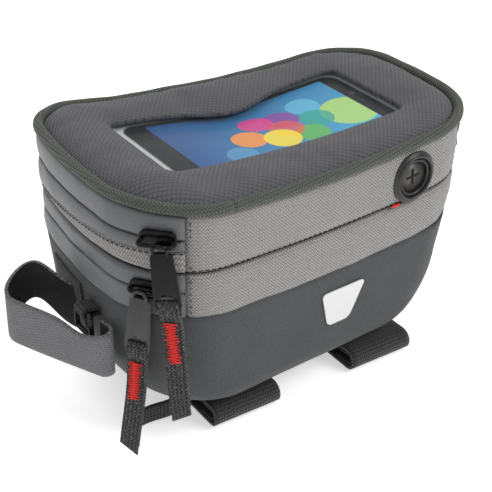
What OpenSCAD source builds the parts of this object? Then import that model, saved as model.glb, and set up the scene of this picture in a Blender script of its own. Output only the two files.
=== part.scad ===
// Soft bag with a window lid, two zips and hook-and-loop straps.
// Millimetres, +Z up, near long side faces -Y, short zip end faces -X, floor at z = 0.

/* [Plan outline] */
// distance from the centre line to the near wall, at x = 0
near_half = 59.9; // [45:0.1:75]
// distance from the centre line to the far wall, at x = 0
far_half = 59.4; // [45:0.1:75]
// angle of the near wall to the long axis
near_angle = 3.6; // [0:0.1:8]
// angle of the far wall to the long axis
far_angle = 3.55; // [0:0.1:8]
// radius of the slightly bowed front end
front_bow_r = 230; // [120:1:400]
// radius of the slightly bowed rear end
rear_bow_r = 278; // [120:1:400]
// x of the front end's foremost point
front_x = -102.4; // [-130:0.1:-80]
// x of the rear end's rearmost point
rear_x = 98.9; // [80:0.1:130]
// corner radius, front near
corner_fn = 40; // [15:1:50]
// corner radius, front far
corner_ff = 30; // [15:1:50]
// corner radius, both rear corners
corner_r = 34; // [15:1:50]

/* [Heights, at the middle of the length] */
// underside of the shell above the floor
shell_z = 13; // [8:1:25]
// seam between shell and side bands
rim_z = 75.5; // [60:0.5:90]
// lower zip line
zip1_z = 88; // [80:0.5:96]
// middle seam, where the upper half hinges
seam_z = 98; // [90:0.5:105]
// slanting seam over the woven wedge
wedge_z = 104.5; // [100:0.5:110]
// upper zip line
zip2_z = 115; // [110:0.5:120]
// underside of the piping
pipe_z = 125; // [120:0.5:132]
// height of the piping
pipe_h = 5.6; // [3:0.1:8]

/* [Walls] */
// thickness of the side bands
band_t = 2.2; // [1:0.1:4]
// thickness of the lining
lining_t = 1; // [0.5:0.1:2]
// how far the upper coated band stands out
proud = 1.6; // [0:0.1:3]
// thickness of the moulded shell
shell_t = 3.2; // [2:0.1:5]
// thickness of the padded lid panel
lid_t = 4; // [2:0.5:8]

/* [Window] */
// length of the window
win_l = 135; // [100:1:150]
// width of the window
win_w = 60; // [40:1:80]

/* [Zip pulls] */
// length of a puller from its eye to its lower bar
puller_l = 30; // [20:1:40]
// width of a puller
puller_w = 12; // [8:0.5:15]
// length of the woven pull tape
tape_l = 60; // [30:1:80]
// radius of the bars the pulls swing on
bar_r = 1; // [0.6:0.1:1.5]
// radial clearance on those bars
bar_gap = 0.08; // [0.02:0.01:0.1]

/* [Straps] */
// width of the bottom straps
strap_w = 38; // [25:1:50]
// x of the front bottom strap
strap_fx = -39; // [-60:1:-20]
// x of the rear bottom strap
strap_rx = 46; // [20:1:60]
// width of the front strap
front_strap_w = 24; // [15:1:30]

/* [Hidden] */
wall = band_t + lining_t;
shell_sag = 5;
seam_sag = 4.5;
lid_sag = 7.5;
near_x0 = -79.5;
near_x1 = 89;
dn = [cos(near_angle), sin(near_angle)];
nn = [-sin(near_angle), cos(near_angle)];
df = [cos(far_angle), -sin(far_angle)];
nf = [-sin(far_angle), -cos(far_angle)];
cf = [front_x + front_bow_r, -5];
cr = [rear_x - rear_bow_r, 6];
q1 = corner([0, -near_half], dn, nn, corner_fn, cf, front_bow_r, -1);
q2 = corner([0, far_half], df, nf, corner_ff, cf, front_bow_r, -1);
q3 = corner([0, far_half], df, nf, corner_r, cr, rear_bow_r, 1);
q4 = corner([0, -near_half], dn, nn, corner_r, cr, rear_bow_r, 1);
eye_r = bar_r + bar_gap + 1.3;
lower_phi = 217.9;
upper_phi = 226;
lower_eye = 5;
upper_eye = 9;
lower_eye_z = 93.3;
upper_eye_z = 120;
upper_eye_dx = 3.7;
lower_lean = 5;
upper_lean = -6;
to_origin = [15, 3.1, 0];
$fn = 64;

// Centre of a corner circle that touches a side line and an end arc from inside.
function corner(p, d, n, r, c, big, s) =
    let (b = p + r * n, w = b - c, q = w * d)
    b + (-q + s * sqrt(q * q - w * w + (big - r) * (big - r))) * d;

function arc(c, r, a, b, n) = [for (i = [0:n]) c + r * [cos(a + (b - a) * i / n), sin(a + (b - a) * i / n)]];

function heading(v) = atan2(v[1], v[0]);

// Plan outline, moved inward by w: four corner arcs joined by two bowed ends and two straight sides.
module outline(w) {
    h1 = heading(q1 - cf) + 360;
    h2 = heading(q2 - cf);
    h3 = heading(q3 - cr);
    h4 = heading(q4 - cr);
    polygon(concat(
        arc(q4, corner_r - w, near_angle - 90, h4, 9),
        arc(cr, rear_bow_r - w, h4 + 1.5, h3 - 1.5, 4),
        arc(q3, corner_r - w, h3, 90 - far_angle, 9),
        arc(q2, corner_ff - w, 90 - far_angle, h2, 8),
        arc(cf, front_bow_r - w, h2 + 3, h1 - 3, 4),
        arc(q1, corner_fn - w, h1, 270 + near_angle, 10)
    ));
}

// Everything above a surface that is z high at x = 0 and rises towards both ends.
module above(z, sag, tilt = 0) {
    r = 5000 / sag;
    translate([0, 0, z]) rotate([90 + tilt, 0, 0]) translate([0, r, 0])
        cylinder(r = r, h = 300, center = true, $fn = 720);
}

// Wall between two insets and two curved levels.
module ring(w1, w2, za, sa, zb, sb, tilt_a = 0, tilt_b = 0) {
    difference() {
        intersection() {
            translate([0, 0, 40]) linear_extrude(height = 120) difference() {
                outline(w1);
                outline(w2);
            }
            above(za, sa, tilt_a);
        }
        above(zb, sb, tilt_b);
    }
}

// Plate inside an inset, between two curved levels.
module plate(w, za, zb, sag) {
    difference() {
        intersection() {
            translate([0, 0, 60]) linear_extrude(height = 100) outline(w);
            above(za, sag);
        }
        above(zb, sag);
    }
}

module rect_plate(l, w, za, zb, sag) {
    difference() {
        intersection() {
            translate([-l / 2 - 0.9, -w / 2 + 0.5, 60]) cube([l, w, 100]);
            above(za, sag);
        }
        above(zb, sag);
    }
}

// The straight near side, where the woven panels are.
module near_zone(grow = 0) {
    translate([near_x0 - grow, -130, 0]) cube([near_x1 - near_x0 + 2 * grow, 110, 200]);
}

// Wall profile that slopes in by slope down to a rounded bottom corner of radius r.
module wall_profile(w, slope, r) {
    a = atan(slope / (rim_z - shell_z));
    zc = shell_z + r;
    vc = slope * (rim_z - zc) / (rim_z - shell_z) + r / cos(a);
    c = [vc, zc];
    edge = arc(c, r - w, 270, 180 + a, 8);
    up = edge[8] + 90 * [-sin(a), cos(a)];
    polygon(concat([[260, up[1]], [260, shell_z + w]], edge, [up]));
}

module side_prism(w, slope, r) {
    rotate([90, 0, 90]) linear_extrude(height = 320, center = true) wall_profile(w, slope, r);
}

// Facet of a rounded lower corner, facing out along angle phi.
module corner_prism(w, q, rc, phi, r) {
    translate(q) rotate([0, 0, phi + 90]) translate([0, -rc, 0]) side_prism(w, 9, r);
}

// Inside of the shell's outer form, moved inward by w.
module shell_form(w) {
    intersection() {
        linear_extrude(height = 130) outline(w);
        rotate([0, 0, near_angle]) translate([0, -near_half * cos(near_angle), 0])
            side_prism(w, 8, 17);
        rotate([0, 0, 180 - far_angle]) translate([0, -far_half * cos(far_angle), 0])
            side_prism(w, 8, 17);
        translate([front_x, 0, 0]) rotate([0, 0, -90]) side_prism(w, 7, 42);
        translate([rear_x, 0, 0]) rotate([0, 0, 90]) side_prism(w, 6, 34);
        corner_prism(w, q1, corner_fn, 250, 24);
        corner_prism(w, q1, corner_fn, 229, 32);
        corner_prism(w, q1, corner_fn, 208, 38);
        corner_prism(w, q2, corner_ff, 110, 24);
        corner_prism(w, q2, corner_ff, 130, 32);
        corner_prism(w, q2, corner_ff, 150, 38);
        corner_prism(w, q3, corner_r, 70, 22);
        corner_prism(w, q3, corner_r, 47, 26);
        corner_prism(w, q3, corner_r, 24, 30);
        corner_prism(w, q4, corner_r, -70, 22);
        corner_prism(w, q4, corner_r, -47, 26);
        corner_prism(w, q4, corner_r, -24, 30);
    }
}

// Moves a piece so that the whole bag's box is centred over the origin.
module placed() {
    translate(to_origin) children();
}

// ---------- shell body ----------

module eva_shell() {
    color([0.24, 0.25, 0.26]) placed() difference() {
        shell_form(0);
        shell_form(shell_t);
        above(rim_z, shell_sag);
    }
}

module base_board() {
    color([0.1, 0.1, 0.11]) placed() difference() {
        translate([-54, -31, shell_z + shell_t]) cube([110, 62, 1.6]);
        for (x = [-54, 56], y = [-31, 31])
            translate([x, y, shell_z]) rotate([0, 0, 45]) cube([14, 14, 20], center = true);
    }
}

module lower_lining() {
    color([0.12, 0.12, 0.13]) placed() {
        difference() {
            ring(band_t, wall, rim_z, shell_sag, zip1_z - 2, seam_sag);
            near_zone();
        }
        intersection() {
            ring(band_t, wall, rim_z, shell_sag, seam_z - 0.3, seam_sag);
            near_zone();
        }
    }
}

module lower_woven_band() {
    color([0.62, 0.61, 0.60]) placed() intersection() {
        ring(0, band_t, rim_z, shell_sag, seam_z - 0.3, seam_sag);
        near_zone();
    }
}

module lower_zip_band() {
    color([0.44, 0.44, 0.45]) placed() difference() {
        ring(0, band_t, rim_z, shell_sag, zip1_z - 0.3, seam_sag);
        near_zone();
    }
}

module lower_zip_coil() {
    color([0.08, 0.08, 0.08]) placed() difference() {
        ring(band_t, band_t + 1.4, zip1_z - 1.8, seam_sag, zip1_z - 0.3, seam_sag);
        near_zone(1);
    }
}

// Rounded trapezoid of reflective film, its corners rounded by small circles.
module reflective_patch() {
    color([0.82, 0.83, 0.82]) placed() on_near_wall(7.5, 53) rotate([0, 0, 0]) {
        linear_extrude(height = 0.5) polygon([[-14, 10], [14, 10], [7, -12], [-7, -12]]);
    }
}

// Frame on the sloping near wall of the shell: x along the wall, y up it, z outward.
module on_near_wall(x, z) {
    a = atan(8 / (rim_z - shell_z));
    inset = 8 * (rim_z - z) / (rim_z - shell_z);
    rotate([0, 0, near_angle]) translate([x, -near_half * cos(near_angle) + inset, z])
        rotate([90 + a, 0, 0]) children();
}

// Strap bent in plan: straight root run, round bend, front run, small turned end.
module front_strap() {
    t = 2;
    r = 10.5;
    c = [-120, 17];
    r2 = 3.4;
    a1 = 34;
    a2 = 204.5;
    p1 = c + r * [cos(a1), sin(a1)];
    p2 = c + r * [cos(a2), sin(a2)];
    run = 50;
    p3 = p2 + run * [cos(a2 + 90), sin(a2 + 90)];
    c2 = p3 - r2 * [cos(a2), sin(a2)];
    p4 = c2 + r2 * [cos(a2 + 170), sin(a2 + 170)];
    color([0.13, 0.13, 0.14]) placed() difference() {
        translate([0, 0, 42]) linear_extrude(height = front_strap_w) {
            translate(p1) rotate(a1 + 90) translate([-20, -t / 2]) square([20.1, t]);
            bend(c, r, t, a1, a2);
            translate(p2) rotate(a2 + 90) translate([-0.1, -t / 2]) square([run + 0.2, t]);
            bend(c2, r2, t, a2, a2 + 170);
            translate(p4) rotate(a2 + 260) translate([-0.1, -t / 2]) square([5.5, t]);
        }
        shell_form(-1.2);
    }
}

// Part of a flat ring from angle a to angle b.
module bend(c, r, t, a, b) {
    m = (a + b) / 2;
    k = 3 * r + 3 * t;
    translate(c) intersection() {
        difference() {
            circle(r = r + t / 2, $fn = 96);
            circle(r = r - t / 2, $fn = 96);
        }
        polygon([[0, 0], k * [cos(a), sin(a)], k * [cos((a + m) / 2), sin((a + m) / 2)],
            k * [cos(m), sin(m)], k * [cos((b + m) / 2), sin((b + m) / 2)], k * [cos(b), sin(b)]]);
    }
}

// Patch that backs the strap's sewn root, flat on the bowed front wall.
module front_strap_patch() {
    color([0.1, 0.1, 0.1]) placed() intersection() {
        difference() {
            shell_form(-1.2);
            shell_form(0);
        }
        translate([-130, -8, 40]) cube([60, 27, 30]);
    }
}

module front_ring_tab() {
    color([0.1, 0.1, 0.1]) placed() difference() {
        translate([-107, -14, 67]) {
            rotate([90, 0, 0]) cylinder(r = 3.2, h = 9, center = true);
            translate([0, -4.5, 0]) cube([10, 9, 3.2]);
        }
        translate([-107, -14, 67]) rotate([90, 0, 0])
            cylinder(r = 1.3 + bar_gap, h = 20, center = true);
        shell_form(0);
    }
}

// Rectangular plastic ring hanging in the webbing tab.
module front_ring() {
    color([0.07, 0.07, 0.07]) placed() translate([-107, -14, 67]) {
        rotate([90, 0, 0]) cylinder(r = 1.3, h = 14, center = true);
        for (s = [-1, 1]) translate([0, s * 7.2, 0]) ring_side();
        translate([-1.3, -8.5, -13.3]) cube([2.6, 17, 2.6]);
    }
}

module ring_side() {
    rotate([90, 0, 0]) cylinder(r = 1.3, h = 2.6, center = true);
    translate([-1.3, -1.3, -12]) cube([2.6, 2.6, 12]);
}

// Flat hook-and-loop strap folded back on itself under the shell.
module bottom_strap(x, y0, y1) {
    h = shell_z - 1.4;
    translate([x - strap_w / 2, 0, h / 2]) rotate([90, 0, 90]) linear_extrude(height = strap_w) {
        difference() {
            stadium(y0, y1, h / 2);
            stadium(y0, y1, h / 2 - 1.8);
        }
        bend([y0, -0.3], 2.6, 1.4, 90, 270);
        translate([y0, 1.6]) square([14, 1.4]);
        translate([y0, -4.1]) square([9, 1.9]);
    }
}

module stadium(y0, y1, r) {
    translate([y0, -r]) square([y1 - y0, 2 * r]);
    intersection() {
        translate([y0, 0]) circle(r = r, $fn = 64);
        translate([y0 - 2 * r, -r * 1.5]) square([2 * r, 3 * r]);
    }
    intersection() {
        translate([y1, 0]) circle(r = r, $fn = 64);
        translate([y1, -r * 1.5]) square([2 * r, 3 * r]);
    }
}

module bottom_strap_front() {
    color([0.12, 0.12, 0.13]) placed() bottom_strap(strap_fx, -49, 44);
}

module bottom_strap_rear() {
    color([0.12, 0.12, 0.13]) placed() bottom_strap(strap_rx, -46, 42);
}

module bottom_patch(x) {
    translate([x - 21, -34, shell_z - 1.4]) cube([42, 66, 1.4]);
}

module bottom_patch_front() {
    color([0.1, 0.1, 0.1]) placed() bottom_patch(strap_fx);
}

module bottom_patch_rear() {
    color([0.1, 0.1, 0.1]) placed() bottom_patch(strap_rx - 6);
}

// Narrow webbing on edge under the front end, with its sewn flat part.
module tail_webbing() {
    color([0.09, 0.09, 0.09]) placed() {
        translate([-90, -33, 3.4]) cube([30, 1.6, 9.6]);
        translate([-61.6, -33, 11.6]) cube([1.6, 14, 1.4]);
        translate([-61.6, -33, 3.4]) cube([1.6, 14, 9.6]);
    }
}

// ---------- upper half ----------

module port_axis() {
    rotate([0, 0, near_angle]) translate([46.5, -near_half * cos(near_angle), 112])
        rotate([90, 0, 0]) children();
}

module upper_woven_band() {
    color([0.62, 0.61, 0.60]) placed() difference() {
        intersection() {
            ring(0, band_t, seam_z + 0.3, seam_sag, pipe_z - 0.4, lid_sag);
            near_zone();
        }
        port_axis() cylinder(r = 10, h = 30, center = true);
    }
}

module wedge_strip() {
    color([0.62, 0.61, 0.60]) placed() difference() {
        ring(0, band_t, seam_z, seam_sag, wedge_z, seam_sag, 0, -5);
        near_zone();
    }
}

module middle_zip_band() {
    color([0.44, 0.44, 0.45]) placed() difference() {
        ring(0, band_t, zip1_z + 0.3, seam_sag, seam_z, seam_sag);
        near_zone(0.7);
    }
}

module middle_zip_coil() {
    color([0.08, 0.08, 0.08]) placed() difference() {
        ring(band_t, band_t + 1.4, zip1_z + 0.3, seam_sag, zip1_z + 1.8, seam_sag);
        near_zone(1);
    }
}

module upper_zip_band() {
    color([0.44, 0.44, 0.45]) placed() difference() {
        ring(-proud, band_t, wedge_z, seam_sag, zip2_z - 0.3, seam_sag, -5, 0);
        near_zone();
    }
}

module upper_zip_coil() {
    color([0.08, 0.08, 0.08]) placed() difference() {
        ring(band_t, band_t + 1.4, zip2_z - 1.8, seam_sag, zip2_z - 0.3, seam_sag);
        near_zone(1);
    }
}

module divider_panel() {
    color([0.14, 0.14, 0.15]) placed() difference() {
        translate([0, 0, 106]) linear_extrude(height = 2) outline(wall);
        port_axis() translate([0, 0, -wall - 2]) cylinder(r = 12.8, h = 4);
    }
}

module upper_lining() {
    color([0.12, 0.12, 0.13]) placed() difference() {
        union() {
            difference() {
                ring(band_t, wall, zip1_z + 2, seam_sag, zip2_z - 2, seam_sag);
                near_zone(0.9);
            }
            intersection() {
                ring(band_t, wall, seam_z + 0.3, seam_sag, pipe_z - 0.4, lid_sag);
                near_zone();
            }
        }
        port_axis() cylinder(r = 10, h = 30, center = true);
    }
}

module port_flange() {
    color([0.07, 0.07, 0.07]) placed() port_axis() difference() {
        union() {
            cylinder(r = 13.2, h = 1.4);
            cylinder(r = 12, h = 2.4);
            translate([0, 0, -wall]) cylinder(r = 9.98, h = wall + 1);
        }
        translate([0, 0, 1.2]) cylinder(r = 9.2, h = 5);
        translate([0, 0, -10]) cylinder(r = 8, h = 20);
    }
}

module port_membrane() {
    color([0.06, 0.06, 0.06]) placed() port_axis() translate([0, 0, -1.6]) difference() {
        cylinder(r = 8, h = 1.2);
        cube([9, 0.8, 6], center = true);
        cube([0.8, 9, 6], center = true);
    }
}

module port_retainer() {
    color([0.07, 0.07, 0.07]) placed() port_axis() translate([0, 0, -wall - 1.25]) difference() {
        cylinder(r = 12.2, h = 1.2);
        translate([0, 0, -1]) cylinder(r = 8, h = 4);
    }
}

module port_bartack() {
    color([0.75, 0.1, 0.08]) placed() rotate([0, 0, near_angle])
        translate([33.6, -near_half * cos(near_angle) - 0.8, 98.5]) cube([5, 0.8, 1.2]);
}

// ---------- lid ----------

module lid_zip_band() {
    color([0.44, 0.44, 0.45]) placed() difference() {
        ring(-proud, band_t, zip2_z + 0.3, seam_sag, pipe_z, lid_sag);
        near_zone(0.7);
    }
}

module lid_zip_coil() {
    color([0.08, 0.08, 0.08]) placed() difference() {
        ring(band_t, band_t + 1.4, zip2_z + 0.3, seam_sag, zip2_z + 1.8, seam_sag);
        near_zone(1);
    }
}

module piping() {
    color([0.34, 0.36, 0.34]) placed() ring(-2.6, 2.8, pipe_z, lid_sag, pipe_z + pipe_h, lid_sag);
}

module lid_panel() {
    color([0.35, 0.35, 0.37]) placed() difference() {
        plate(2.8, pipe_z + 1.5, pipe_z + 1.5 + lid_t, lid_sag);
        translate([-win_l / 2 - 0.9, -win_w / 2 + 0.5, 60]) cube([win_l, win_w, 100]);
    }
}

module window_film() {
    color([0.85, 0.88, 0.9, 0.35]) placed() rect_plate(win_l, win_w, pipe_z + 3, pipe_z + 3.5, lid_sag);
}

module display_card() {
    color([0.2, 0.45, 0.75]) placed() rect_plate(win_l + 12, win_w + 14, pipe_z + 0.5, pipe_z + 1.5, lid_sag);
}

module card_backing() {
    color([0.7, 0.7, 0.7]) placed() rect_plate(win_l + 16, win_w + 18, pipe_z - 0.3, pipe_z + 0.5, lid_sag);
}

// ---------- zip pulls ----------

// Frame at a slider: x along the zip, -y outward, origin on the wall.
module at_wall(phi, z) {
    translate([q1[0], q1[1], z]) rotate([0, 0, phi + 90]) translate([0, -corner_fn, 0])
        children();
}

// Slider body from y = -base outward, and a bail whose bar lies at y = -eye.
module slider(base, eye) {
    translate([-5, -base - 1.9, -3.8]) cube([10, 1.9, 7.6]);
    for (s = [-1, 1]) translate([s * 3, -base - 0.95, 0]) rotate([90, 0, 0])
        cylinder(r = 4.6, h = 1.9, center = true);
    for (s = [-1, 1]) translate([s * 6.3 - 0.8, -eye - bar_r, -1.2])
        cube([1.6, eye + bar_r - base - 1, 2.4]);
    translate([0, -eye, 0]) rotate([0, 90, 0]) cylinder(r = bar_r, h = 12, center = true);
}

// Puller hanging from its eye at the origin.
module puller(lean) {
    difference() {
        union() {
            rotate([0, 90, 0]) cylinder(r = eye_r, h = 2.6, center = true);
            rotate([0, lean, 0]) {
                translate([-1.5, -0.9, -6]) cube([3, 1.8, 6]);
                puller_blade();
            }
        }
        rotate([0, 90, 0]) cylinder(r = bar_r + bar_gap, h = 8, center = true);
    }
}

module puller_blade() {
    difference() {
        translate([0, 0.9, 0]) rotate([90, 0, 0]) linear_extrude(height = 1.8)
            polygon([[-3, -4.5], [3, -4.5], [4.6, -8], [puller_w / 2, -24],
                [puller_w / 2, -puller_l - 1.6], [-puller_w / 2, -puller_l - 1.6],
                [-puller_w / 2, -24], [-4.6, -8]]);
        translate([-5, -5, -puller_l - 9]) cube([10, 10, 14]);
    }
    translate([0, 0, -puller_l]) rotate([0, 90, 0]) cylinder(r = bar_r, h = puller_w - 1, center = true);
}

module pull_tape() {
    difference() {
        union() {
            rotate([0, 90, 0]) cylinder(r = eye_r, h = 9.2, center = true);
            translate([0, 1.2, 0]) rotate([90, 0, 0]) linear_extrude(height = 2.4)
                polygon([[-4.6, 0], [4.6, 0], [4.6, -tape_l], [-4.6, -tape_l + 5]]);
        }
        rotate([0, 90, 0]) cylinder(r = bar_r + bar_gap, h = 20, center = true);
    }
}

module bartack() {
    translate([-2.4, -1.8, -28]) cube([4.8, 0.6, 21]);
}

module at_lower_eye() {
    at_wall(lower_phi, lower_eye_z) translate([0, -lower_eye, 0]) children();
}

module at_upper_eye() {
    at_wall(upper_phi, upper_eye_z) translate([upper_eye_dx, -upper_eye, 0]) children();
}

module lower_slider() {
    color([0.07, 0.07, 0.08]) placed() at_wall(lower_phi, lower_eye_z) slider(0.4, lower_eye);
}

module lower_puller() {
    color([0.09, 0.09, 0.1]) placed() at_lower_eye() puller(lower_lean);
}

module lower_pull_tape() {
    color([0.13, 0.13, 0.13]) placed() at_lower_eye() rotate([0, lower_lean, 0])
        translate([0, 0, -puller_l]) pull_tape();
}

module lower_bartack() {
    color([0.85, 0.1, 0.08]) placed() at_lower_eye() rotate([0, lower_lean, 0])
        translate([0, 0, -puller_l]) bartack();
}

module upper_slider() {
    color([0.07, 0.07, 0.08]) placed() at_wall(upper_phi, upper_eye_z) slider(proud + 0.6, upper_eye);
}

module upper_puller() {
    color([0.09, 0.09, 0.1]) placed() at_upper_eye() puller(upper_lean);
}

module upper_pull_tape() {
    color([0.13, 0.13, 0.13]) placed() at_upper_eye() rotate([0, upper_lean, 0])
        translate([0, 0, -puller_l]) pull_tape();
}

module upper_bartack() {
    color([0.85, 0.1, 0.08]) placed() at_upper_eye() rotate([0, upper_lean, 0])
        translate([0, 0, -puller_l]) bartack();
}

eva_shell();
base_board();
lower_lining();
lower_woven_band();
lower_zip_band();
lower_zip_coil();
reflective_patch();
front_strap();
front_strap_patch();
front_ring_tab();
front_ring();
bottom_strap_front();
bottom_strap_rear();
bottom_patch_front();
bottom_patch_rear();
tail_webbing();
upper_woven_band();
wedge_strip();
middle_zip_band();
middle_zip_coil();
upper_zip_band();
upper_zip_coil();
divider_panel();
upper_lining();
port_flange();
port_membrane();
port_retainer();
port_bartack();
lid_zip_band();
lid_zip_coil();
piping();
lid_panel();
window_film();
display_card();
card_backing();
lower_slider();
lower_puller();
lower_pull_tape();
lower_bartack();
upper_slider();
upper_puller();
upper_pull_tape();
upper_bartack();
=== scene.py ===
import math

import bmesh
import bpy
from mathutils import Matrix, Vector, noise


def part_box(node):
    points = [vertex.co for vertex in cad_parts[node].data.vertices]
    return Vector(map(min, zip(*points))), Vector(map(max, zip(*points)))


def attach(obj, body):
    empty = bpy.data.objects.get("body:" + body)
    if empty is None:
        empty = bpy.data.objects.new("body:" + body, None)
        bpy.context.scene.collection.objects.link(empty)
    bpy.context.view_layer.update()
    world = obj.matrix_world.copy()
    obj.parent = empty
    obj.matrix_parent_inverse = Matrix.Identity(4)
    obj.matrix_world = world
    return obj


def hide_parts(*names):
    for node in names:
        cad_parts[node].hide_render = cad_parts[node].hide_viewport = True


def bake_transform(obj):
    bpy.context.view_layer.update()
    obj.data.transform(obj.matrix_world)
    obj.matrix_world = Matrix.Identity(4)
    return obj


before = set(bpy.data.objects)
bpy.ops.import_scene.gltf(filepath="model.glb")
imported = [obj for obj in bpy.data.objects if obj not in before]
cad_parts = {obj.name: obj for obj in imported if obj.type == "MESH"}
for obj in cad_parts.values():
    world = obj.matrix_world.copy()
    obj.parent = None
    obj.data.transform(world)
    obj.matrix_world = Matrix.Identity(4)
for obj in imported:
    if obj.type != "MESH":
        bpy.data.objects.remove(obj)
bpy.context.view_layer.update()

MM = 0.001
pipe_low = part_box("piping")[0]
MIDDLE = Vector((round(pipe_low.x + 0.105, 4), round(pipe_low.y + 0.06629, 4), 0))


def at(x, y, z):
    """A point given in millimetres from the middle of the bag, on the table."""
    return Vector((x, y, z)) * MM + MIDDLE


# ---------- camera ----------

def look_through_camera():
    turn, rise, roll = math.radians(-35.175), math.radians(30.181), 1.436
    away = 0.6037
    back = Vector((math.sin(turn) * math.cos(rise), -math.cos(turn) * math.cos(rise), math.sin(rise)))
    right = (-back).cross(Vector((0, 0, 1))).normalized()
    up = right.cross(-back)
    tip = math.radians(roll)
    across = math.cos(tip) * right + math.sin(tip) * up
    upward = -math.sin(tip) * right + math.cos(tip) * up
    data = bpy.data.cameras.new("studio_camera")
    data.sensor_width = 36
    data.lens = 85.83
    data.shift_x = -0.0238
    data.shift_y = -0.0212
    data.clip_end = 20
    camera = bpy.data.objects.new("studio_camera", data)
    spot = at(0, 0, 66.5) + back * away
    turned = Matrix((across, upward, back)).transposed().to_4x4()
    camera.matrix_world = Matrix.Translation(spot) @ turned
    bpy.context.scene.collection.objects.link(camera)
    bpy.context.scene.camera = camera


look_through_camera()


# ---------- plan outline ----------

NEAR_TURN, FAR_TURN = 3.6, 3.55
NEAR_WALL = -59.9 * math.cos(math.radians(NEAR_TURN))
NEAR_FRONT = ((-61.479, -23.689), 40)
NEAR_REAR = ((63.305, -21.850), 34)
FAR_REAR = ((64.417, 21.338), 34)
FAR_FRONT = ((-68.640, 33.601), 30)
FRONT_BOW = ((127.6, -5), 230)
REAR_BOW = ((-179.1, 6), 278)
PARTS = (50, 20, 16, 20, 45, 18, 24, 26)
ROUND = sum(PARTS)
WOVEN_START, WOVEN_END = 210.0, ROUND + 61.4


def on_circle(circle, angle):
    (cx, cy), r = circle
    a = math.radians(angle)
    return (cx + r * math.cos(a), cy + r * math.sin(a), math.cos(a), math.sin(a))


def outline_points():
    arcs = ((NEAR_REAR, NEAR_TURN - 90, -6.55), (REAR_BOW, -6.55, 3.6),
            (FAR_REAR, 3.6, 90 - FAR_TURN), None,
            (FAR_FRONT, 90 - FAR_TURN, 168.87), (FRONT_BOW, 168.87, 185.64),
            (NEAR_FRONT, 185.64, 270 + NEAR_TURN))
    ends = {0: (on_circle(NEAR_FRONT, 270 + NEAR_TURN), on_circle(NEAR_REAR, NEAR_TURN - 90)),
            4: (on_circle(FAR_REAR, 90 - FAR_TURN), on_circle(FAR_FRONT, 90 - FAR_TURN))}
    points = []
    for part, steps in enumerate(PARTS):
        for k in range(steps):
            f = k / steps
            if part in ends:
                a, b = ends[part]
                points.append(tuple(p + (q - p) * f for p, q in zip(a, b)))
            else:
                circle, first, last = arcs[part - 1]
                points.append(on_circle(circle, first + (last - first) * f))
    return points


OUTLINE = outline_points()
LENGTHS = [0.0]
for k in range(ROUND):
    a, b = OUTLINE[k], OUTLINE[(k + 1) % ROUND]
    LENGTHS.append(LENGTHS[-1] + math.hypot(a[0] - b[0], a[1] - b[1]))


def edge(t, out=0.0):
    """Plan point and outward direction at place t round the bag, moved outward by out."""
    k = int(math.floor(t))
    f = t - k
    a, b = OUTLINE[k % ROUND], OUTLINE[(k + 1) % ROUND]
    x, y, nx, ny = (p + (q - p) * f for p, q in zip(a, b))
    size = math.hypot(nx, ny)
    nx, ny = nx / size, ny / size
    return x + nx * out, y + ny * out, nx, ny


def run_length(t):
    k = int(math.floor(t))
    turns, k0 = divmod(k, ROUND)
    return turns * LENGTHS[ROUND] + LENGTHS[k0] + (LENGTHS[k0 + 1] - LENGTHS[k0]) * (t - k)


def on_near_wall(x, out, z):
    """Frame in millimetres on the near wall, x along it and out away from it."""
    return Matrix.Translation(MIDDLE) @ Matrix.Scale(MM, 4) @ Matrix.Rotation(math.radians(NEAR_TURN), 4, "Z") @ \
        Matrix.Translation((x, NEAR_WALL - out, z))


# ---------- levels of the seams ----------

def rim_level(x, y):
    return 75.5 + 5 * (x / 100) ** 2


def low_zip_level(x, y):
    return 88 + 4.5 * (x / 100) ** 2


def seam_level(x, y):
    return 98 + 4.5 * (x / 100) ** 2


def wedge_level(x, y):
    return 104.5 + 4.5 * (x / 100) ** 2 - math.tan(math.radians(5)) * y


def high_zip_level(x, y):
    return 115 + 4.5 * (x / 100) ** 2


def pipe_level(x, y):
    return 125 + 7.5 * (x / 100) ** 2


# ---------- making meshes ----------

def new_piece(name, bm, finish, smooth=True):
    mesh = bpy.data.meshes.new(name)
    bm.normal_update()
    bm.to_mesh(mesh)
    bm.free()
    if smooth:
        mesh.polygons.foreach_set("use_smooth", [True] * len(mesh.polygons))
    piece = bpy.data.objects.new(name, mesh)
    bpy.context.scene.collection.objects.link(piece)
    mesh.materials.append(finish)
    return piece


def formed(name, place, across, along, width, length, finish, closed=False, thick=0, middle=False):
    """A grid laid out by place(u, v). Its weave map is in metres: width along u and length along v."""
    bm = bmesh.new()
    bmesh.ops.create_grid(bm, x_segments=across, y_segments=along, size=1)
    weave = bm.loops.layers.uv.new("weave")
    for face in bm.faces:
        for loop in face.loops:
            u, v = (loop.vert.co.x + 1) / 2, (loop.vert.co.y + 1) / 2
            loop[weave].uv = (u * width, v * length)
    for vert in bm.verts:
        vert.co = place((vert.co.x + 1) / 2, (vert.co.y + 1) / 2)
    if closed:
        bmesh.ops.remove_doubles(bm, verts=bm.verts, dist=2e-6)
    piece = new_piece(name, bm, finish)
    if thick:
        wall = piece.modifiers.new("wall", "SOLIDIFY")
        wall.thickness = thick * MM
        wall.offset = 0 if middle else -1
    return piece


def weave_from_above(piece, middle):
    """Lays the weave map flat, in metres from middle."""
    mesh = piece.data
    weave = mesh.uv_layers.active.data
    for loop in mesh.loops:
        spot = mesh.vertices[loop.vertex_index].co - middle
        weave[loop.index].uv = (spot.x, spot.y)


def stand_in(piece, body, slot, *nodes):
    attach(piece, body)
    if nodes:
        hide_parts(*nodes)
    return piece


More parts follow.
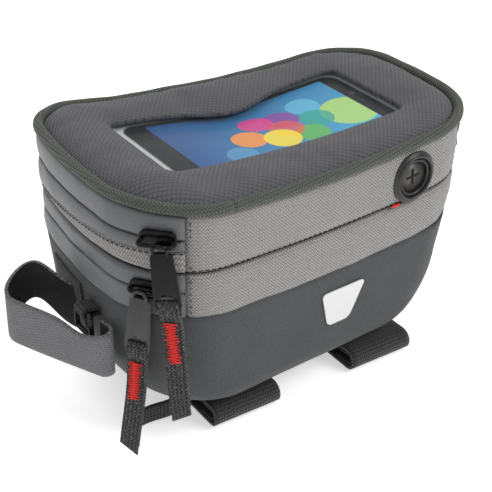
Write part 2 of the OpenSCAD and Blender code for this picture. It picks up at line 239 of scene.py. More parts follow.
def soft_block(size, axis, corner, rim):
    """A block with round corners about one axis and a soft rim."""
    bm = bmesh.new()
    bmesh.ops.create_cube(bm, size=1)
    bmesh.ops.scale(bm, vec=size, verts=bm.verts)
    for keep, offset, segments in ((lambda rise: rise > 1, corner, 5), (lambda rise: rise < 0.01, rim, 2)):
        edges = [e for e in bm.edges if keep(abs((e.verts[0].co - e.verts[1].co)[axis]))]
        bmesh.ops.bevel(bm, geom=edges, offset=offset, segments=segments, profile=0.5, affect="EDGES", material=-1)
    return bm


def pillow(f, bulge, low_tuck, high_tuck, reach=0.09):
    low = math.exp(-((f / reach) ** 2))
    high = math.exp(-(((1 - f) / reach) ** 2))
    return bulge * math.sin(math.pi * f) ** 0.8 - low_tuck * low - high_tuck * high


def ripple(x, y, z, size, amount, seed=0.0):
    return amount * noise.noise(Vector((x / size + seed, y / size, z / size + seed)))


def wall_strip(name, first, last, low, high, out, finish, thick=1.8, rows=18, step=1.0, extra=None):
    """A band of cloth that stands on the plan outline between two levels."""
    steps = max(8, int((last - first) / step))
    span = run_length(last) - run_length(first)

    def place(u, v):
        t = first + (last - first) * u
        x, y, nx, ny = edge(t)
        lo, hi = low(x, y), high(x, y)
        z = lo + (hi - lo) * v
        o = out(u, v, x, y)
        if extra:
            o += extra(u, v, x, y, z)
        return at(x + nx * o, y + ny * o, z)

    closed = abs(last - first - ROUND) < 1e-6
    tall = high(0, 0) - low(0, 0)
    return formed(name, place, steps, rows, span * MM, tall * MM, finish, closed=closed, thick=thick)


def ribbon(name, path, up, width, thick, finish, rows=6, lift=None):
    """A flat strap whose middle line is path, in millimetres, with its width along up."""
    total = [0.0]
    for p, q in zip(path, path[1:]):
        total.append(total[-1] + (Vector(q) - Vector(p)).length)
    up = Vector(up)

    def place(u, v):
        d = u * total[-1]
        k = max(i for i in range(len(path) - 1) if total[i] <= d + 1e-9)
        f = (d - total[k]) / max(total[k + 1] - total[k], 1e-9)
        p = Vector(path[k]).lerp(Vector(path[k + 1]), min(f, 1))
        p += up * ((v - 0.5) * width)
        if lift:
            p += lift(u, v)
        return at(*p)

    steps = max(8, int(total[-1] / 1.2))
    piece = formed(name, place, steps, rows, total[-1] * MM, width * MM, finish, thick=thick, middle=True)
    return piece, total[-1]


def turn_points(cx, cy, r, first, last, steps):
    return [(cx + r * math.cos(math.radians(first + (last - first) * k / steps)),
             cy + r * math.sin(math.radians(first + (last - first) * k / steps))) for k in range(steps + 1)]


def tube(name, path, radius, finish, sides=12, closed=False):
    """A round bar along path, in millimetres."""
    points = [Vector(p) for p in path]
    n = len(points)
    frames = []
    for k in range(n):
        if closed:
            along = (points[(k + 1) % n] - points[k - 1]).normalized()
        else:
            along = (points[min(k + 1, n - 1)] - points[max(k - 1, 0)]).normalized()
        if not frames:
            side = along.orthogonal().normalized()
        else:
            side = frames[-1][0] - along * frames[-1][0].dot(along)
            side.normalize()
        frames.append((side, along.cross(side)))
    total = sum((points[k + 1] - points[k]).length for k in range(n - 1))

    def place(u, v):
        if closed:
            k = int(round(v * n)) % n
        else:
            k = int(round(v * (n - 1)))
        a = 2 * math.pi * u
        side, other = frames[k]
        r = radius(v) if callable(radius) else radius
        return at(*(points[k] + (side * math.cos(a) + other * math.sin(a)) * r))

    bm = bmesh.new()
    bmesh.ops.create_grid(bm, x_segments=sides, y_segments=n if closed else n - 1, size=1)
    weave = bm.loops.layers.uv.new("weave")
    around = 2 * math.pi * (radius(0) if callable(radius) else radius)
    for face in bm.faces:
        for loop in face.loops:
            u, v = (loop.vert.co.x + 1) / 2, (loop.vert.co.y + 1) / 2
            loop[weave].uv = (u * around * MM, v * total * MM)
    for vert in bm.verts:
        vert.co = place((vert.co.x + 1) / 2, (vert.co.y + 1) / 2)
    bmesh.ops.remove_doubles(bm, verts=bm.verts, dist=2e-6)
    open_ends = [e for e in bm.edges if e.is_boundary]
    if open_ends:
        bmesh.ops.holes_fill(bm, edges=open_ends, sides=0)
    bmesh.ops.recalc_face_normals(bm, faces=bm.faces)
    return new_piece(name, bm, finish)


def stitches(name, places, finish, body, pitch=3.2, long=2.3, thick=0.55):
    """A row of short threads. places is a list of (point, outward) in millimetres along the seam."""
    bm = bmesh.new()
    total = [0.0]
    for (p, _), (q, _) in zip(places, places[1:]):
        total.append(total[-1] + (Vector(q) - Vector(p)).length)
    count = max(1, int(total[-1] / pitch))
    k = 0
    for i in range(count):
        d = (i + 0.5) * total[-1] / count
        while k < len(places) - 2 and total[k + 1] < d:
            k += 1
        f = (d - total[k]) / max(total[k + 1] - total[k], 1e-9)
        p = Vector(places[k][0]).lerp(Vector(places[k + 1][0]), f)
        out = Vector(places[k][1]).lerp(Vector(places[k + 1][1]), f).normalized()
        along = (Vector(places[k + 1][0]) - Vector(places[k][0])).normalized()
        side = out.cross(along).normalized()
        made = bmesh.ops.create_icosphere(bm, subdivisions=1, radius=1)
        turned = Matrix((along * long / 2, side * thick / 2, out * thick / 2)).transposed().to_4x4()
        shift = Matrix.Translation(at(*(p + out * thick * 0.1)))
        bmesh.ops.transform(bm, matrix=shift @ Matrix.Scale(MM, 4) @ turned, verts=made["verts"])
    bmesh.ops.recalc_face_normals(bm, faces=bm.faces)
    piece = new_piece(name, bm, finish)
    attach(piece, body)
    return piece


# ---------- finishes ----------

def shade(r, g, b):
    return tuple((c / 255) ** 2.2 for c in (r, g, b)) + (1.0,)


def add(tree, kind, *inputs, **settings):
    node = tree.nodes.new(kind)
    for key, value in settings.items():
        setattr(node, key, value)
    for socket, value in zip(node.inputs, inputs):
        if isinstance(value, bpy.types.NodeSocket):
            tree.links.new(value, socket)
        elif value is not None:
            socket.default_value = value
    return node


def sums(tree, how, *values):
    return add(tree, "ShaderNodeMath", *values, operation=how).outputs[0]


def mixed(tree, amount, first, second):
    node = tree.nodes.new("ShaderNodeMix")
    node.data_type = "RGBA"
    for socket, value in ((node.inputs[0], amount), (node.inputs[6], first), (node.inputs[7], second)):
        if isinstance(value, bpy.types.NodeSocket):
            tree.links.new(value, socket)
        else:
            socket.default_value = value
    return node.outputs[2]


def bare(name, rough, specular=0.5, **fixed):
    finish = bpy.data.materials.new(name)
    finish.use_nodes = True
    tree = finish.node_tree
    shader = tree.nodes["Principled BSDF"]
    shader.inputs["Roughness"].default_value = rough
    shader.inputs["Specular IOR Level"].default_value = specular
    for key, value in fixed.items():
        shader.inputs[key.replace("_", " ")].default_value = value
    return finish, tree, shader


def bumped(tree, shader, height, strength, distance=0.4):
    bump = add(tree, "ShaderNodeBump", strength, distance * MM)
    tree.links.new(height, bump.inputs["Height"])
    tree.links.new(bump.outputs[0], shader.inputs["Normal"])


def woven(name, light, dark, pitch, turn=45, rough=0.8, bump=0.8, fleck=None, squeeze=1.0, sheen=0.15, specular=0.3):
    """Cloth of crossing yarns, pitch millimetres apart, that follows the piece's weave map."""
    finish, tree, shader = bare(name, rough, specular, Sheen_Weight=sheen)
    uv = add(tree, "ShaderNodeUVMap", uv_map="weave").outputs[0]
    turned = tree.nodes.new("ShaderNodeMapping")
    turned.inputs["Rotation"].default_value = (0, 0, math.radians(turn))
    size = 1 / (pitch * MM)
    turned.inputs["Scale"].default_value = (size, size * squeeze, size)
    tree.links.new(uv, turned.inputs["Vector"])
    parts = add(tree, "ShaderNodeSeparateXYZ", turned.outputs[0]).outputs
    warp = sums(tree, "ABSOLUTE", sums(tree, "SINE", sums(tree, "MULTIPLY", parts[0], math.pi)))
    weft = sums(tree, "ABSOLUTE", sums(tree, "SINE", sums(tree, "MULTIPLY", parts[1], math.pi)))
    both = sums(tree, "ADD", sums(tree, "FLOOR", parts[0]), sums(tree, "FLOOR", parts[1]))
    over = sums(tree, "MULTIPLY", sums(tree, "FRACT", sums(tree, "MULTIPLY", both, 0.5)), 2.0)
    under = sums(tree, "SUBTRACT", 1.0, over)
    height = sums(tree, "ADD", sums(tree, "MULTIPLY", over, warp), sums(tree, "MULTIPLY", under, weft))
    place = add(tree, "ShaderNodeTexCoord").outputs["Object"]
    cloud = add(tree, "ShaderNodeTexNoise", place, None, 60.0, 3.0).outputs[0]
    grain = add(tree, "ShaderNodeTexNoise", place, None, 1400.0, 2.0).outputs[0]
    amount = sums(tree, "ADD", sums(tree, "MULTIPLY", height, 0.75),
                  sums(tree, "MULTIPLY", sums(tree, "SUBTRACT", grain, 0.3), 0.6))
    colour = mixed(tree, sums(tree, "MINIMUM", amount, 1.0), dark, light)
    colour = mixed(tree, sums(tree, "MULTIPLY", cloud, 0.25), colour, dark)
    if fleck:
        spots = sums(tree, "GREATER_THAN", grain, 0.62)
        colour = mixed(tree, sums(tree, "MULTIPLY", spots, 0.5), colour, fleck)
    tree.links.new(colour, shader.inputs["Base Color"])
    tree.links.new(sums(tree, "MULTIPLY_ADD", grain, 0.25, rough - 0.12), shader.inputs["Roughness"])
    bumped(tree, shader, height, bump, pitch * 0.35)
    return finish


def speckled(name, light, dark, size=900.0, rough=0.7, bump=0.3, depth=0.2, specular=0.4, cloud_size=40.0, **fixed):
    """A plain skin with a fine grain, on object coordinates."""
    finish, tree, shader = bare(name, rough, specular, **fixed)
    place = add(tree, "ShaderNodeTexCoord").outputs["Object"]
    grain = add(tree, "ShaderNodeTexNoise", place, None, size, 3.0).outputs[0]
    cloud = add(tree, "ShaderNodeTexNoise", place, None, cloud_size, 2.0).outputs[0]
    colour = mixed(tree, grain, dark, light)
    colour = mixed(tree, sums(tree, "MULTIPLY", cloud, 0.22), colour, dark)
    tree.links.new(colour, shader.inputs["Base Color"])
    tree.links.new(sums(tree, "MULTIPLY_ADD", cloud, 0.16, rough - 0.08), shader.inputs["Roughness"])
    bumped(tree, shader, grain, bump, depth)
    return finish


GREY_WEAVE = woven("grey_oxford_cloth", shade(180, 178, 176), shade(80, 79, 78), 1.15, 45, 0.85, 1.0)
LID_CLOTH = woven("dark_grey_twill", shade(100, 100, 104), shade(54, 54, 58), 0.95, 12, 0.75, 0.8, squeeze=0.5)
PIPING_CLOTH = woven("piping_cord_cloth", shade(98, 103, 94), shade(18, 20, 17), 1.3, 38, 0.8, 1.0)
STRAP_CLOTH = woven("strap_loop_cloth", shade(148, 148, 151), shade(36, 36, 38), 1.05, 30, 0.9, 1.0)
WEBBING = woven("black_webbing", shade(66, 66, 68), shade(14, 14, 14), 1.25, 45, 0.8, 1.2)
TAPE = woven("pull_tape_weave", shade(58, 58, 58), shade(16, 16, 16), 1.3, 45, 0.75, 1.3, fleck=shade(150, 150, 148))
LINING = woven("black_lining_nylon", shade(54, 54, 57), shade(30, 30, 32), 0.8, 0, 0.6, 0.5)
COATED = speckled("coated_grey_cloth", shade(110, 111, 114), shade(76, 77, 79), 1600.0, 0.46, 0.25, 0.15)
SHELL = speckled("matte_moulded_cloth", shade(86, 88, 89), shade(40, 41, 42), 1500.0, 0.7, 0.7, 0.3, 0.3,
                 Sheen_Weight=0.05)
BOARD = speckled("stiff_black_board", shade(50, 50, 52), shade(32, 32, 33), 700.0, 0.7)
REFLECTIVE = speckled("reflective_film", shade(226, 227, 226), shade(196, 197, 196), 2400.0, 0.35, 0.3, 0.08, 0.6)
GLOSS = speckled("glossy_black_casting", shade(12, 12, 13), shade(6, 6, 7), 500.0, 0.26, 0.06, 0.1, 0.2)
SATIN = speckled("satin_black_casting", shade(64, 64, 66), shade(46, 46, 48), 700.0, 0.4, 0.1, 0.1, 0.35)
HARD = speckled("moulded_black_plastic", shade(34, 34, 35), shade(20, 20, 21), 800.0, 0.4, 0.1, 0.1, 0.5)
RUBBER = speckled("black_rubber", shade(50, 50, 49), shade(26, 26, 26), 1100.0, 0.38, 0.2, 0.12, 0.45)
SOFT_RUBBER = speckled("soft_grey_rubber", shade(92, 90, 86), shade(62, 60, 57), 1100.0, 0.36, 0.2, 0.12, 0.45)
COIL = speckled("black_zip_coil", shade(40, 40, 41), shade(16, 16, 16), 600.0, 0.5, 0.3, 0.2)
RED_THREAD = speckled("red_thread", shade(242, 62, 54), shade(180, 28, 24), 1800.0, 0.6, 0.6, 0.2, 0.3)
BLACK_THREAD = speckled("black_thread", shade(34, 34, 35), shade(14, 14, 14), 1800.0, 0.7, 0.6, 0.2)
HOOK_FACE = speckled("hook_face", shade(58, 58, 60), shade(20, 20, 20), 1500.0, 0.95, 1.0, 0.6)
CARD_BACK = speckled("card_backing", shade(196, 194, 190), shade(170, 168, 164), 500.0, 0.8)


def clear_film():
    finish, tree, shader = bare("clear_window_film", 0.1, 0.25)
    place = add(tree, "ShaderNodeTexCoord").outputs["Object"]
    haze = add(tree, "ShaderNodeTexNoise", place, None, 35.0, 3.0).outputs[0]
    scuff = add(tree, "ShaderNodeTexNoise", place, None, 900.0, 2.0).outputs[0]
    tree.links.new(mixed(tree, haze, shade(235, 238, 240), shade(215, 220, 225)), shader.inputs["Base Color"])
    tree.links.new(sums(tree, "MULTIPLY_ADD", scuff, 0.06, 0.08), shader.inputs["Roughness"])
    tree.links.new(sums(tree, "MULTIPLY_ADD", haze, 0.03, 0.005), shader.inputs["Alpha"])
    bumped(tree, shader, haze, 0.1, 0.6)
    finish.surface_render_method = "BLENDED"
    return finish


FILM = clear_film()


def printed_card():
    """Card printed with a plain phone: a dark frame, a blue screen and soft overlapping discs."""
    finish, tree, shader = bare("printed_card", 0.35, 0.3)
    uv = add(tree, "ShaderNodeUVMap", uv_map="weave").outputs[0]
    parts = add(tree, "ShaderNodeSeparateXYZ", uv).outputs
    x = sums(tree, "MULTIPLY", parts[0], 1000.0)
    y = sums(tree, "MULTIPLY", parts[1], 1000.0)

    def within(dx, dy, r):
        away = sums(tree, "ADD", sums(tree, "MULTIPLY", dx, dx), sums(tree, "MULTIPLY", dy, dy))
        return sums(tree, "LESS_THAN", sums(tree, "SQRT", away), r)

    def past(value, middle, half):
        reach = sums(tree, "ABSOLUTE", sums(tree, "SUBTRACT", value, middle))
        return sums(tree, "MAXIMUM", sums(tree, "SUBTRACT", reach, half), 0.0)

    def box(cx, cy, hx, hy, r):
        return within(past(x, cx, hx - r), past(y, cy, hy - r), r)

    def disc(cx, cy, r):
        return within(sums(tree, "SUBTRACT", x, cx), sums(tree, "SUBTRACT", y, cy), r)

    phone = box(*PHONE, 9.0)
    rim = box(PHONE[0], PHONE[1], PHONE[2] - 0.8, PHONE[3] - 0.8, 8.2)
    colour = mixed(tree, phone, shade(178, 186, 186), shade(96, 98, 102))
    colour = mixed(tree, rim, colour, shade(14, 14, 16))
    screen = box(*SCREEN, 0.3)
    slide = add(tree, "ShaderNodeMapRange", x, SCREEN[0] - SCREEN[2], SCREEN[0] + SCREEN[2], 0.0, 1.0).outputs[0]
    blue = mixed(tree, slide, shade(44, 84, 140), shade(70, 170, 214))
    rise = add(tree, "ShaderNodeMapRange", y, SCREEN[1] - SCREEN[3], SCREEN[1] + SCREEN[3], 0.0, 1.0).outputs[0]
    blue = mixed(tree, sums(tree, "MULTIPLY", rise, 0.55), blue, shade(34, 70, 120))
    for cx, cy, r, tint, strength in DISCS:
        blue = mixed(tree, sums(tree, "MULTIPLY", disc(cx, cy, r), strength), blue, shade(*tint))
    colour = mixed(tree, screen, colour, blue)
    for cx, cy, r in PHONE_DOTS:
        colour = mixed(tree, disc(cx, cy, r), colour, shade(60, 62, 66))
    tree.links.new(colour, shader.inputs["Base Color"])
    place = add(tree, "ShaderNodeTexCoord").outputs["Object"]
    grain = add(tree, "ShaderNodeTexNoise", place, None, 300.0, 2.0).outputs[0]
    tree.links.new(sums(tree, "MULTIPLY_ADD", grain, 0.15, 0.25), shader.inputs["Roughness"])
    bumped(tree, shader, grain, 0.05, 0.1)
    return finish


PHONE = (3.5, 0.5, 64.5, 31.5)
SCREEN = (5.5, 0.5, 53.0, 27.8)
DISCS = ((50, -8, 15, (176, 214, 92), 0.8), (34, 10, 9, (110, 196, 226), 0.5), (32, -5, 9, (42, 158, 140), 0.85),
         (21, -17, 9, (96, 176, 70), 0.85), (16, 4, 9.5, (128, 58, 150), 0.85), (3, 7, 9, (214, 52, 132), 0.85),
         (13, -6, 9, (222, 74, 58), 0.7), (-10, -7, 9, (240, 146, 46), 0.85), (5, -14, 9.5, (240, 214, 48), 0.88),
         (-22, -20, 8, (120, 180, 220), 0.35))
PHONE_DOTS = ((63.0, 6.0, 1.6), (62.5, -3.0, 0.7))
PRINTED = printed_card()


# ---------- the moulded shell ----------

def inset_at(z, slope, radius):
    start = 13 + radius
    if z >= start:
        return slope * (75.5 - z) / 62.5
    return slope * (75.5 - start) / 62.5 + radius - math.sqrt(max(radius ** 2 - (start - z) ** 2, 0))


SHELL_LEVELS = ([13 + 34 * (1 - math.cos(math.radians(a))) for a in (0, 7, 12, 18, 24, 30, 36, 43, 50, 58, 66, 75)]
                + [44, 48, 53, 58, 63, 68, 72, 75, 75.5])


def rear_tuck(x):
    return 2.6 * max(0.0, min(1.0, (x - 50) / 35)) ** 2


def shell_point(t, z, out=0.0):
    x, y, nx, ny = edge(t)
    side = inset_at(z, 8, 17) / 59.6
    end = inset_at(z, 7, 42) / 102.4 if x < 0 else (inset_at(z, 7, 44) + rear_tuck(x)) / 98.9
    lift = max(0.0, min(1.0, (z - 40) / 35.5)) ** 1.5
    level = z + lift * 5 * (x / 100) ** 2
    return x * (1 - end) + nx * out, y * (1 - side) + ny * out, level


def make_shell():
    inner = 5
    rows = inner + len(SHELL_LEVELS)

    def place(u, v):
        k = v * (rows - 1)
        low = int(min(round(k), rows - 1))
        t = u * ROUND
        if low < inner:
            x, y, z = shell_point(t, 13)
            s = low / inner
            return at(x * s, y * s, z)
        z = SHELL_LEVELS[low - inner]
        out = -0.9 if low == rows - 1 else 0.0
        x, y, level = shell_point(t, z, out + ripple(*edge(t)[:2], z, 22, 0.35))
        return at(x, y, level)

    piece = formed("moulded_shell", place, ROUND, rows - 1, LENGTHS[ROUND] * MM, 0.11, SHELL, closed=True, thick=2.6)
    return stand_in(piece, "shell_body", "moulded_shell", "eva_shell")


make_shell()


def shell_patch(name, first, last, low, high, out, finish, thick, rows=10):
    def place(u, v):
        x, y, z = shell_point(first + (last - first) * u, low + (high - low) * v, out)
        return at(x, y, z)
    span = run_length(last) - run_length(first)
    return formed(name, place, max(8, int(span / 2)), rows, span * MM, (high - low) * MM, finish, thick=thick)


# ---------- side bands ----------

def near_end_tuck(u):
    return 0.9 * (math.exp(-((u / 0.012) ** 2)) + math.exp(-(((1 - u) / 0.012) ** 2)))


def pull_in(u, v, x, y, z):
    return ripple(x, y, z, 16, 0.5, 3.0) + ripple(x, y, z, 6, 0.15, 9.0)


lower_woven = wall_strip(
    "lower_woven_panel", WOVEN_START, WOVEN_END, lambda x, y: rim_level(x, y) - 0.6,
    lambda x, y: seam_level(x, y) - 0.3,
    lambda u, v, x, y: pillow(v, 0.9, 0.5, 1.6, 0.06) - near_end_tuck(u) - rear_tuck(x) * (1 - v) ** 1.5,
    GREY_WEAVE, extra=pull_in)
stand_in(lower_woven, "shell_body", "woven_grey", "lower_woven_band")

upper_woven = wall_strip(
    "upper_woven_panel", WOVEN_START, WOVEN_END, lambda x, y: seam_level(x, y) + 0.3,
    lambda x, y: pipe_level(x, y) + 0.4,
    lambda u, v, x, y: pillow(v, 1.1, 1.6, 1.0, 0.055) - near_end_tuck(u), GREY_WEAVE, rows=24,
    extra=lambda u, v, x, y, z: pull_in(u, v, x, y, z) * min(1, math.hypot(x - 50, z - 111) / 24))


PORT_X, PORT_Z = 46.5, 112


def open_port_hole(piece):
    """Takes out the cloth behind the cable port, under its ring."""
    middle = at(PORT_X + 3.75, -59.66 * math.cos(math.radians(NEAR_TURN)) + 2.92, PORT_Z)
    bm = bmesh.new()
    bm.from_mesh(piece.data)
    gone = [f for f in bm.faces if any(math.hypot((v.co - middle).x, (v.co - middle).z) < 0.0091 and v.co.y < 0
                                       for v in f.verts)]
    bmesh.ops.delete(bm, geom=gone, context="FACES")
    bm.to_mesh(piece.data)
    bm.free()


open_port_hole(upper_woven)
stand_in(upper_woven, "upper_half", "woven_grey", "upper_woven_band")

FAR_START, FAR_END = WOVEN_END - ROUND, WOVEN_START

FAR_BANDS = (
    ("lower_coated_band", "shell_body", "coated_grey", "lower_zip_band", COATED,
     lambda x, y: rim_level(x, y) - 0.6, lambda x, y: low_zip_level(x, y) - 0.1,
     lambda u, v, x, y: pillow(v, 0.5, 0.5, 0.4, 0.05) - rear_tuck(x) * (1 - v) ** 1.5),
    ("middle_coated_band", "upper_half", "coated_grey", "middle_zip_band", COATED,
     lambda x, y: low_zip_level(x, y) + 0.1, lambda x, y: seam_level(x, y) - 0.2,
     lambda u, v, x, y: pillow(v, 0.5, 0.4, 1.6, 0.09)),
    ("wedge_woven_panel", "upper_half", "woven_grey", "wedge_strip", GREY_WEAVE,
     lambda x, y: seam_level(x, y) + 0.2, wedge_level,
     lambda u, v, x, y: pillow(v, 0.5, 1.6, 0.3)),
    ("upper_coated_band", "upper_half", "coated_grey", "upper_zip_band", COATED,
     wedge_level, lambda x, y: high_zip_level(x, y) - 0.1,
     lambda u, v, x, y: 0.7 + pillow(v, 1.0, 1.2, 0.3, 0.06)),
    ("lid_coated_band", "phone_lid", "coated_grey", "lid_zip_band", COATED,
     lambda x, y: high_zip_level(x, y) + 0.1, lambda x, y: pipe_level(x, y) + 0.4,
     lambda u, v, x, y: 0.7 + pillow(v, 1.0, 0.3, 1.6, 0.06)),
)
for name, body, slot, node, finish, low, high, out in FAR_BANDS:
    band = wall_strip(name, FAR_START, FAR_END, low, high, out, finish, rows=12, extra=pull_in)
    stand_in(band, body, slot, node)

# folded cloth that turns along the seam where the halves open
upper_seam_fold = wall_strip(
    "seam_fold", WOVEN_START + 2, WOVEN_END - 2, lambda x, y: seam_level(x, y) - 2.2,
    lambda x, y: seam_level(x, y) + 2.2, lambda u, v, x, y: -3.1 + 1.1 * math.sin(math.pi * v), LINING,
    thick=0.7, rows=8)
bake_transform(upper_seam_fold)

# ---------- linings ----------

def make_lining(name, low, high, rows):
    return wall_strip(name, 0, ROUND, low, high, lambda u, v, x, y: -2.5, LINING, thick=0.6, rows=rows,
                      extra=lambda u, v, x, y, z: ripple(x, y, z, 12, 0.2))


stand_in(make_lining("lower_lining_wall", lambda x, y: rim_level(x, y) + 0.3,
                     lambda x, y: low_zip_level(x, y) - 2.2, 6), "shell_body", "lining", "lower_lining")
upper_lining = make_lining("upper_lining_wall", lambda x, y: seam_level(x, y) + 0.6,
                           lambda x, y: high_zip_level(x, y) - 2.2, 8)
open_port_hole(upper_lining)
stand_in(upper_lining, "upper_half", "lining", "upper_lining")


def flat_pad(name, inset, level, finish, thick, puff):
    def place(u, v):
        x, y, _, _ = edge(u * ROUND, -inset)
        z = level + puff * math.sin(math.pi * min(1.0, v * 1.15)) * 0.5 + ripple(x * v, y * v, 0, 18, 0.3)
        return at(x * v, y * v, z)
    return formed(name, lambda u, v: place(u, 1 - v), ROUND // 2, 18, 0.55, 0.06, finish, closed=True, thick=thick)


divider = flat_pad("padded_divider", 3.4, 107.6, LINING, 1.6, 0.6)
stand_in(divider, "upper_half", "lining", "divider_panel")

# ---------- piping ----------


def make_piping():
    def spot(k):
        x, y, _, _ = edge(k, 0.1)
        return x, y, pipe_level(x, y) + 2.8 + ripple(x, y, 0, 30, 0.5, 5.0)

    def thickness(v):
        t = v * ROUND
        joint = 0.22 * math.exp(-(((t - 30) / 1.6) ** 2))
        return 2.6 + joint + 0.08 * math.sin(t * 0.9)

    piece = tube("piping_cord", [spot(k) for k in range(ROUND)], thickness, PIPING_CLOTH, sides=16, closed=True)
    return stand_in(piece, "phone_lid", "piping_grey", "piping")


make_piping()

# ---------- lid ----------

WIN = (-0.9, 0.5, 67.5, 30.0)


def window_edge(t, grow=0.0, corner=5.0):
    cx, cy, hx, hy = WIN
    hx, hy, r = hx + grow, hy + grow, corner + grow
    spots = [(cx - hx + r, cy - hy), (cx + hx - r, cy - hy), (cx + hx, cy - hy + r), (cx + hx, cy + hy - r),
             (cx + hx - r, cy + hy), (cx - hx + r, cy + hy), (cx - hx, cy + hy - r), (cx - hx, cy - hy + r)]
    t = t % ROUND
    part = 0
    while t >= PARTS[part]:
        t -= PARTS[part]
        part += 1
    f = t / PARTS[part]
    if part % 2 == 0:
        a, b = spots[part], spots[(part + 1) % 8]
        return a[0] + (b[0] - a[0]) * f, a[1] + (b[1] - a[1]) * f
    centres = {1: (cx + hx - r, cy - hy + r, -90), 3: (cx + hx - r, cy + hy - r, 0),
               5: (cx - hx + r, cy + hy - r, 90), 7: (cx - hx + r, cy - hy + r, 180)}
    ox, oy, first = centres[part]
    a = math.radians(first + 90 * f)
    return ox + r * math.cos(a), oy + r * math.sin(a)


def bell(value, middle, width):
    return math.exp(-(((value - middle) / width) ** 2))


FAR_FLAP = (-2, 25, -1.6, 9.5)
LID_PLEATS = 44


def lid_point(t, v):
    ox, oy, _, _ = edge(t, -1.9)
    wx, wy = window_edge(t)
    roll = max(0.0, (v - 0.93) / 0.07)
    s = min(v / 0.93, 1.0)
    x = ox + (wx - ox) * s
    y = oy + (wy - oy) * s
    base = pipe_level(x, y)
    crown = 5.2 * (1 - math.exp(-s / 0.18)) - 1.2 * s ** 2
    puff = 2.2 * math.sin(math.pi * min(1, s)) ** 0.8
    z = base + 1.6 + crown + puff * (1.0 + 0.9 * bell(x, -82, 24))
    gather = math.exp(-s * 5) * s * 8
    wander = 2 * noise.noise(Vector((ox / 20, oy / 20, 0)))
    z += 0.24 * gather * math.sin(run_length(t) / LENGTHS[ROUND] * LID_PLEATS * 2 * math.pi + wander)
    z += ripple(x, y, 0, 24, 1.9, 2.0) * math.sin(math.pi * s) + ripple(x, y, 0, 9, 0.6, 7.0) * math.sin(math.pi * s)
    flap = bell(x, FAR_FLAP[0], FAR_FLAP[1]) * (1 if y > 0 else 0) * s ** 1.5
    z += FAR_FLAP[2] * flap + 2.4 * bell(x, FAR_FLAP[0], 30) * (1 if y > 0 else 0) * math.sin(math.pi * s)
    y -= FAR_FLAP[3] * flap
    z -= 2.0 * roll
    return x, y, z


def make_lid():
    piece = formed("padded_lid", lambda u, v: at(*lid_point(u * ROUND, v)), ROUND, 34,
                   LENGTHS[ROUND] * MM, 0.034, LID_CLOTH, closed=True, thick=1.6)
    weave_from_above(piece, Vector((0, 0, 0)))
    stand_in(piece, "phone_lid", "lid_fabric", "lid_panel")
    return piece


make_lid()


def window_dip(x, y):
    return 2.4 * bell(x, FAR_FLAP[0], 30) * max(0.0, min(1.0, (y + 12) / 30)) ** 2


def lid_plate(name, half_x, half_y, low, finish, thick, wave=0.0):
    cx, cy = WIN[0], WIN[1]

    def place(u, v):
        x = cx + (u * 2 - 1) * half_x
        y = cy + (v * 2 - 1) * half_y
        return at(x, y, pipe_level(x, y) + low - window_dip(x, y) + ripple(x, y, 0, 30, wave, 4.0))

    piece = formed(name, place, 60, 30, 2 * half_x * MM, 2 * half_y * MM, finish, thick=thick)
    weave_from_above(piece, at(cx, cy, 0))
    return piece


film = lid_plate("window_film_sheet", 69.5, 32, 3.9, FILM, 0.4, 0.5)
stand_in(film, "phone_lid", "clear_film", "window_film")
card = lid_plate("printed_phone_card", 73.5, 37, 1.5, PRINTED, 0.8)
stand_in(card, "phone_lid", "printed_card", "display_card")
backing = lid_plate("card_backing_sheet", 75, 38, 0.6, CARD_BACK, 0.7)
stand_in(backing, "phone_lid", "card_back", "card_backing")

# ---------- stitched seams ----------


def wall_stitch(name, first, last, level, out, body, finish=BLACK_THREAD, pitch=3.0):
    places = []
    count = int((last - first) / 0.8)
    for k in range(count + 1):
        x, y, nx, ny = edge(first + (last - first) * k / count)
        o = out(x, y) if callable(out) else out
        places.append(((x + nx * o, y + ny * o, level(x, y)), (nx, ny, 0)))
    return stitches(name, places, finish, body, pitch)


def upright_stitch(name, t, low, high, out, body, tuck=0.0):
    x, y, nx, ny = edge(t)
    lo, hi = low(x, y), high(x, y)
    places = []
    for k in range(9):
        o = out - tuck * (1 - k / 8) ** 1.5
        places.append(((x + nx * o, y + ny * o, lo + (hi - lo) * k / 8), (nx, ny, 0)))
    return stitches(name, places, BLACK_THREAD, body, 2.8, 2.1)


wall_stitch("wedge_seam_stitch", FAR_START, FAR_END, lambda x, y: wedge_level(x, y) - 1.2, 0.45, "upper_half")
NEAR_CORNER_SEAM, REAR_CORNER_SEAM = WOVEN_START + 1.0, WOVEN_END + 1.2
upright_stitch("lower_front_corner_stitch", NEAR_CORNER_SEAM, lambda x, y: rim_level(x, y) + 1,
               lambda x, y: seam_level(x, y) - 2, 0.35, "shell_body")
upright_stitch("upper_front_corner_stitch", NEAR_CORNER_SEAM, lambda x, y: seam_level(x, y) + 2,
               lambda x, y: pipe_level(x, y) - 2, 0.45, "upper_half")
upright_stitch("lower_rear_corner_stitch", REAR_CORNER_SEAM, rim_level, lambda x, y: low_zip_level(x, y) - 1, 0.3,
               "shell_body", 2.6)
upright_stitch("upper_rear_corner_stitch", REAR_CORNER_SEAM, seam_level, wedge_level, 0.4, "upper_half")

wall_stitch("zip_end_stitch", WOVEN_START - 6.5, WOVEN_START - 0.6, high_zip_level, 1.15, "upper_half", pitch=1.5)
wall_stitch("near_seam_stitch", WOVEN_START + 1, WOVEN_END - 1, lambda x, y: seam_level(x, y) + 1.7, 0.1, "upper_half")

# ---------- reflective patch ----------


